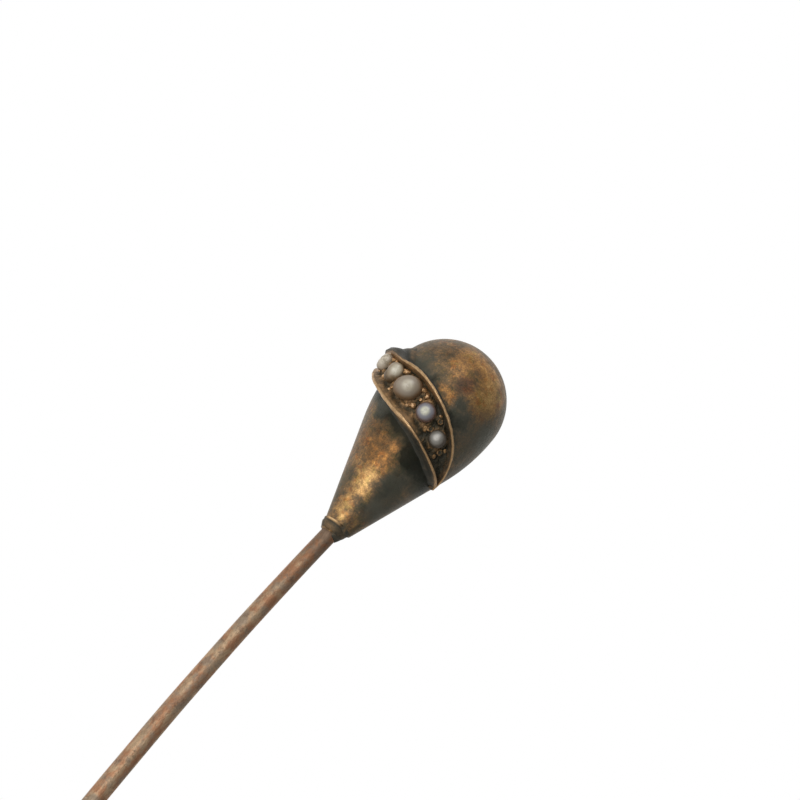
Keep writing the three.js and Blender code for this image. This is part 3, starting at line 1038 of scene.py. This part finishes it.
def mottling(made, place, gilt):  # the gilt with every layer of mottling, and the layers by themselves
    worn, grains = gilt, []
    lively = gilt.ease(0.1, 0.5, patina["calm"], 1)
    for index, (size, strength, detail, rough) in enumerate(patina["layers"]):
        mottled = made.warped(place, size, size * 0.8, index)
        grains.append(made.noise(mottled, size, detail, rough, index + 1) - 0.5)
        worn = worn + grains[-1] * strength * lively
    return worn, grains


def tinted(made, place, loose, colour):
    olive = made.noise(place, 0.7, 5, 0.65, 12).ease(0.5, 0.62)
    colour = made.mix(olive * 0.6, colour, patina["olive"], "MULTIPLY")
    rust = made.noise(made.warped(place, 0.5, 0.5, 9), 0.55, 5, 0.65, 15).ease(0.52, 0.66)
    colour = made.mix(rust * 0.5, colour, patina["rust"], "MULTIPLY")
    colour = made.mix(overlay(made, loose, patina["reddened"]), colour, patina["red"], "MULTIPLY")
    colour = made.mix(overlay(made, loose, patina["greyFilmAndReflection"]), colour, patina["filmAndReflectionGrey"])
    plum = made.distance(loose, headPoint(*patina["plumSpot"])).ease(0.2, 0.9, 0.7, 0)
    return made.mix(plum, colour, patina["plum"], "MULTIPLY")


def patinaFinish():
    made = Finish("patinaGilt", IOR=1.5)
    place = made.place()
    loose = made.warped(made.warped(place, 0.9, 1.3, 4), 0.22, 0.45, 6)
    worn, grains = mottling(made, place, giltLeft(made, loose))
    colour = tinted(made, place, loose, made.colour(worn, patina["stops"]))
    bright = worn.ease(0.35, 0.9)
    roughness = 0.5 - bright * 0.19 + grains[3] * 0.5 + grains[1] * 0.2
    bump = grains[1] * 0.3 + grains[2] * 0.6 + grains[3] * 0.5
    return made.done(bump, 0.05, Base_Color=colour, Roughness=roughness, Metallic=0.75 + bright * 0.25)


rimGilt = {
    "stops": [
        (0.0, (0.03, 0.029, 0.022)),
        (0.3, (0.085, 0.067, 0.042)),
        (0.55, (0.26, 0.15, 0.07)),
        (0.8, (0.47, 0.3, 0.15)),
        (1.0, (0.68, 0.46, 0.26)),
    ],
    "smudge": 1.0,
    "roughness": 0.38,
    "metalInDirt": 0.35,
}
plateGilt = {
    "stops": [
        (0.0, (0.03, 0.027, 0.015)),
        (0.3, (0.074, 0.055, 0.027)),
        (0.55, (0.2, 0.115, 0.048)),
        (0.8, (0.44, 0.255, 0.11)),
        (1.0, (0.7, 0.45, 0.25)),
    ],
    "smudge": 1.1,
    "roughness": 0.44,
    "metalInDirt": 0.25,
}
collarGilt = {
    "stops": [
        (0.0, (0.05, 0.045, 0.033)),
        (0.25, (0.12, 0.09, 0.055)),
        (0.5, (0.26, 0.165, 0.085)),
        (0.8, (0.55, 0.35, 0.17)),
        (1.0, (0.85, 0.58, 0.31)),
    ],
    "smudge": 0.9,
    "roughness": 0.4,
    "metalInDirt": 0.7,
}
darkSolder = {
    "stops": [
        (0.0, (0.035, 0.037, 0.03)),
        (0.5, (0.09, 0.08, 0.058)),
        (0.7, (0.2, 0.13, 0.065)),
        (1.0, (0.6, 0.38, 0.18)),
    ],
    "smudge": 1.5,
    "roughness": 0.5,
    "metalInDirt": 0.6,
}


def giltFinish(name, look, size):
    made = Finish(name)
    place = made.place()
    smudge = made.noise(made.warped(place, 0.4, 0.4, 5), size, 6, 0.65, 11)
    scratch = made.noise(place, size * 0.2, 3, 0.7, 8)
    worn = made.wear() + (smudge - 0.5) * look["smudge"] + (scratch - 0.5) * 0.25
    colour = made.colour(worn, look["stops"])
    roughness = look["roughness"] + (1 - worn.ease(0.3, 0.9)) * 0.2 + (scratch - 0.5) * 0.2
    metal = worn.ease(0.5, 1.05, look["metalInDirt"], 1)  # what lies in the recesses is dirt
    height = smudge * 0.6 + scratch * 0.4
    return made.done(height, 0.035, Base_Color=colour, Roughness=roughness, Metallic=metal)


wireLook = {
    "tan": (0.53, 0.375, 0.235),
    "copper": (0.43, 0.22, 0.12),
    "grey": (0.32, 0.265, 0.205),
    "dark": (0.17, 0.115, 0.08),
    "redNear": 9,  # redder and darker within this of the head
    "nearHeadDarkening": (0.68, 0.65, 0.62),
    "roughness": 0.48,
}


def wireFinish():
    made = Finish("tarnishedWire", Metallic=0.8)
    place = made.place()
    drawn = made.noise(made.stretched(place, 1, 1, 0.5), 0.5, 6, 0.68, 6)
    fine = made.noise(made.stretched(place, 1, 1, 0.4), 0.1, 4, 0.7, 9)
    height = made.wire("SeparateXYZ", None, {0: place}, "Z")
    nearHead = height.ease(-wireLook["redNear"], 0)
    copper = (drawn + nearHead * 0.12).ease(0.42, 0.6)
    colour = made.mix(copper, wireLook["tan"], wireLook["copper"])
    cloudy = made.noise(place, 0.9, 5, 0.65, 2).ease(0.46, 0.6)
    colour = made.mix(cloudy * 0.7, colour, wireLook["grey"])
    dark = made.noise(made.warped(place, 0.4, 0.4, 5), 0.45, 6, 0.7, 14).ease(0.52, 0.66)
    colour = made.mix((fine.ease(0.45, 0.65) * 0.35 + dark * 0.55), colour, wireLook["dark"])
    # darker towards the head, most just below the collar
    darkening = nearHead * 0.45 + height.ease(-3.2, -0.4) * 0.5
    colour = made.mix(darkening, colour, wireLook["nearHeadDarkening"], "MULTIPLY")
    roughness = wireLook["roughness"] + (fine - 0.5) * 0.5 + cloudy * 0.08
    return made.done(drawn * 0.5 + fine * 0.5, 0.05, Base_Color=colour, Roughness=roughness)


nacre = {
    # colours from the middle out, where the middle lies along, across and off, and how far the light
    # part reaches, as shares of the radius; the light middle is a painted highlight placed towards the
    # lamp, and the ring and edge colours are painted shade darkening towards the outline
    "pearl_1": {"light": (0.58, 0.51, 0.4), "shade": (0.36, 0.3, 0.21), "ring": (0.36, 0.29, 0.21),
                "edge": (0.18, 0.13, 0.085), "middle": (0.7, 0.15, 0.65), "reach": 0.9, "seed": 1},
    "pearl_2": {"light": (0.66, 0.62, 0.49), "shade": (0.48, 0.43, 0.32), "ring": (0.25, 0.18, 0.1),
                "edge": (0.12, 0.08, 0.042), "middle": (0.8, 0.35, 0.5), "reach": 0.62, "seed": 2},
    "pearl_3": {"light": (0.5, 0.45, 0.34), "shade": (0.38, 0.32, 0.23), "ring": (0.26, 0.205, 0.145),
                "edge": (0.17, 0.105, 0.055), "middle": (0.36, 0.08, 0.93), "reach": 0.42, "seed": 3},
    "pearl_4": {"light": (0.6, 0.6, 0.46), "shade": (0.4, 0.39, 0.33), "ring": (0.18, 0.18, 0.21),
                "edge": (0.13, 0.075, 0.055), "middle": (-0.06, -0.1, 1.0), "reach": 0.42, "seed": 4},
    "pearl_5": {"light": (0.42, 0.4, 0.36), "shade": (0.32, 0.3, 0.26), "ring": (0.16, 0.15, 0.13),
                "edge": (0.06, 0.046, 0.032), "middle": (-0.42, -0.2, 0.88), "reach": 0.36, "seed": 5},
}


def nacreFinish(node):
    look = {**nacre[node], **pearls[node]}
    made = Finish(node + "_nacre", Metallic=0.0, IOR=1.45, Coat_Roughness=0.5, Coat_IOR=2.0)
    place = made.place()
    cloud = made.noise(made.warped(place, 0.4, 0.5, 3), 0.35, 5, 0.62, look["seed"])
    fine = made.noise(place, 0.07, 3, 0.6, 4)
    colour = made.mix(cloud.ease(0.4, 0.58), look["shade"], look["light"])
    # painted highlight: the light colour is centred on this point, placed towards the lamp
    middle = pearlMatrix(node) @ (Vector(look["middle"]) * look["radius"])
    outward = made.distance(place, middle) / look["radius"] + (cloud - 0.5) * 0.5
    reach = look["reach"]
    # painted shade: the ring and edge colours darken the pearl towards its outline
    colour = made.mix(outward.ease(reach * 0.6, reach * 1.5), colour, look["ring"])
    colour = made.mix(outward.ease(reach + 0.25, reach + 0.75), colour, look["edge"])
    roughness = 0.45 + (fine - 0.5) * 0.2
    sheen = outward.ease(reach, reach + 0.7, 1, 0.1) * (cloud.ease(0.3, 0.6) * 0.4 + 0.6)
    height = cloud * 0.8 + fine * 0.2
    return made.done(height, 0.02, Base_Color=colour, Roughness=roughness, Coat_Weight=sheen)


head = patinaFinish()
makeTaper(head)
makeDome(head)
print("head made")

rims = giltFinish("rimGilt", rimGilt, 0.4)
makeRim("settingRimUpper", rims, "setting_rim_upper", upperOutside, 1, setting["upperEnd"], 1)
makeRim("settingRimLower", rims, "setting_rim_lower", lowerOutside, -1, setting["lowerEnd"], 2)
beadGilt = giltFinish("plateGilt", plateGilt, 0.3)
makePlate(beadGilt)
makeGrains(beadGilt)
for node in pearls:
    makePearl(node, nacreFinish(node))
print("setting made")

makeCollar(giltFinish("collarGilt", collarGilt, 0.3))
makeSolder(giltFinish("darkSolder", darkSolder, 0.25))
makeStem(wireFinish())
for node in ("stem_bush", "seam_ring"):
    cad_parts[node].data.materials.clear()
    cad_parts[node].data.materials.append(beadGilt)
print("neck and stem made")


studio = {
    "floorRadius": 260,
    "floorGap": 1.0,
    "brightSide": 0.6,
    "darkSide": 0.24,
    "backdrop": 0.72,
}
lamps = [
    # rightward, upward and backward parts of its direction from the head, distance, size, power
    {"name": "keyPanel", "toward": (-0.27, 0.26, 0.93), "away": 170, "size": (14, 40), "watts": 0.06},
    {"name": "sidePanel", "toward": (-0.9, 0.4, 0.1), "away": 220, "size": (120, 160), "watts": 0.04},
    {"name": "topPanel", "toward": (0.35, 0.75, 0.55), "away": 220, "size": (70, 90), "watts": 0.1},
]


def makeFloor():
    piece = bpy.data.meshes.new("floor")
    bm = bmesh.new()
    bmesh.ops.create_circle(bm, cap_ends=True, segments=96, radius=studio["floorRadius"] * mm)
    bm.to_mesh(piece)
    bm.free()
    made = Finish("paleFloor", Metallic=0.0)
    grainy = made.noise(made.place(), 30, 4, 0.5, 1)
    colour = made.mix(grainy, (0.8, 0.8, 0.79), (0.84, 0.84, 0.83))
    piece.materials.append(made.done(grainy, 0.05, Base_Color=colour, Roughness=0.6 + grainy * 0.1))
    floor = bpy.data.objects.new("floor", piece)
    floor.location = (0, 0, (stemLow.z - studio["floorGap"]) * mm)
    bpy.context.scene.collection.objects.link(floor)


def makeLamp(spec):
    light = bpy.data.lights.new(spec["name"], "AREA")
    light.shape = "ELLIPSE"
    light.size, light.size_y = [length * mm for length in spec["size"]]
    light.energy = spec["watts"]
    right, up, back = spec["toward"]
    direction = (viewRight * right + viewUp * up - viewForward * back).normalized()
    lamp = bpy.data.objects.new(spec["name"], light)
    lamp.location = (headMiddle + direction * spec["away"]) * mm
    lamp.rotation_euler = direction.to_track_quat("Z", "Y").to_euler()
    lamp.visible_camera = False
    bpy.context.scene.collection.objects.link(lamp)


def makeWorld():
    world = bpy.data.worlds.new("studio")
    world.use_nodes = True
    made = Finish("studio", world.node_tree)
    direction = made.wire("TexCoord", output="Generated")
    bright = (viewUp * 0.8 - viewRight * 0.6).normalized()
    side = made.wire("VectorMath", {"operation": "DOT_PRODUCT"}, {0: direction, 1: bright}, "Value")
    back = made.wire("VectorMath", {"operation": "DOT_PRODUCT"}, {0: direction, 1: viewForward}, "Value")
    level = side.ease(-0.7, 0.8, studio["darkSide"], studio["brightSide"])
    level = level + back.ease(0.25, 0.95, 0, studio["backdrop"]) * side.ease(-1.1, 0.5, 0.85, 1)
    dim = made.wire("Background", None, {"Color": (1.0, 0.98, 0.95), "Strength": level})
    plain = made.wire("Background", None, {"Color": (1.0, 1.0, 1.0), "Strength": 1.0})
    seen = made.wire("LightPath", output="Is Camera Ray")
    shader = made.wire("MixShader", None, {0: seen, 1: dim, 2: plain})
    made.node("OutputWorld", None, {"Surface": shader})
    bpy.context.scene.world = world


makeFloor()
for spec in lamps:
    makeLamp(spec)
makeWorld()
bpy.context.scene.view_settings.view_transform = "Standard"
print("studio made")
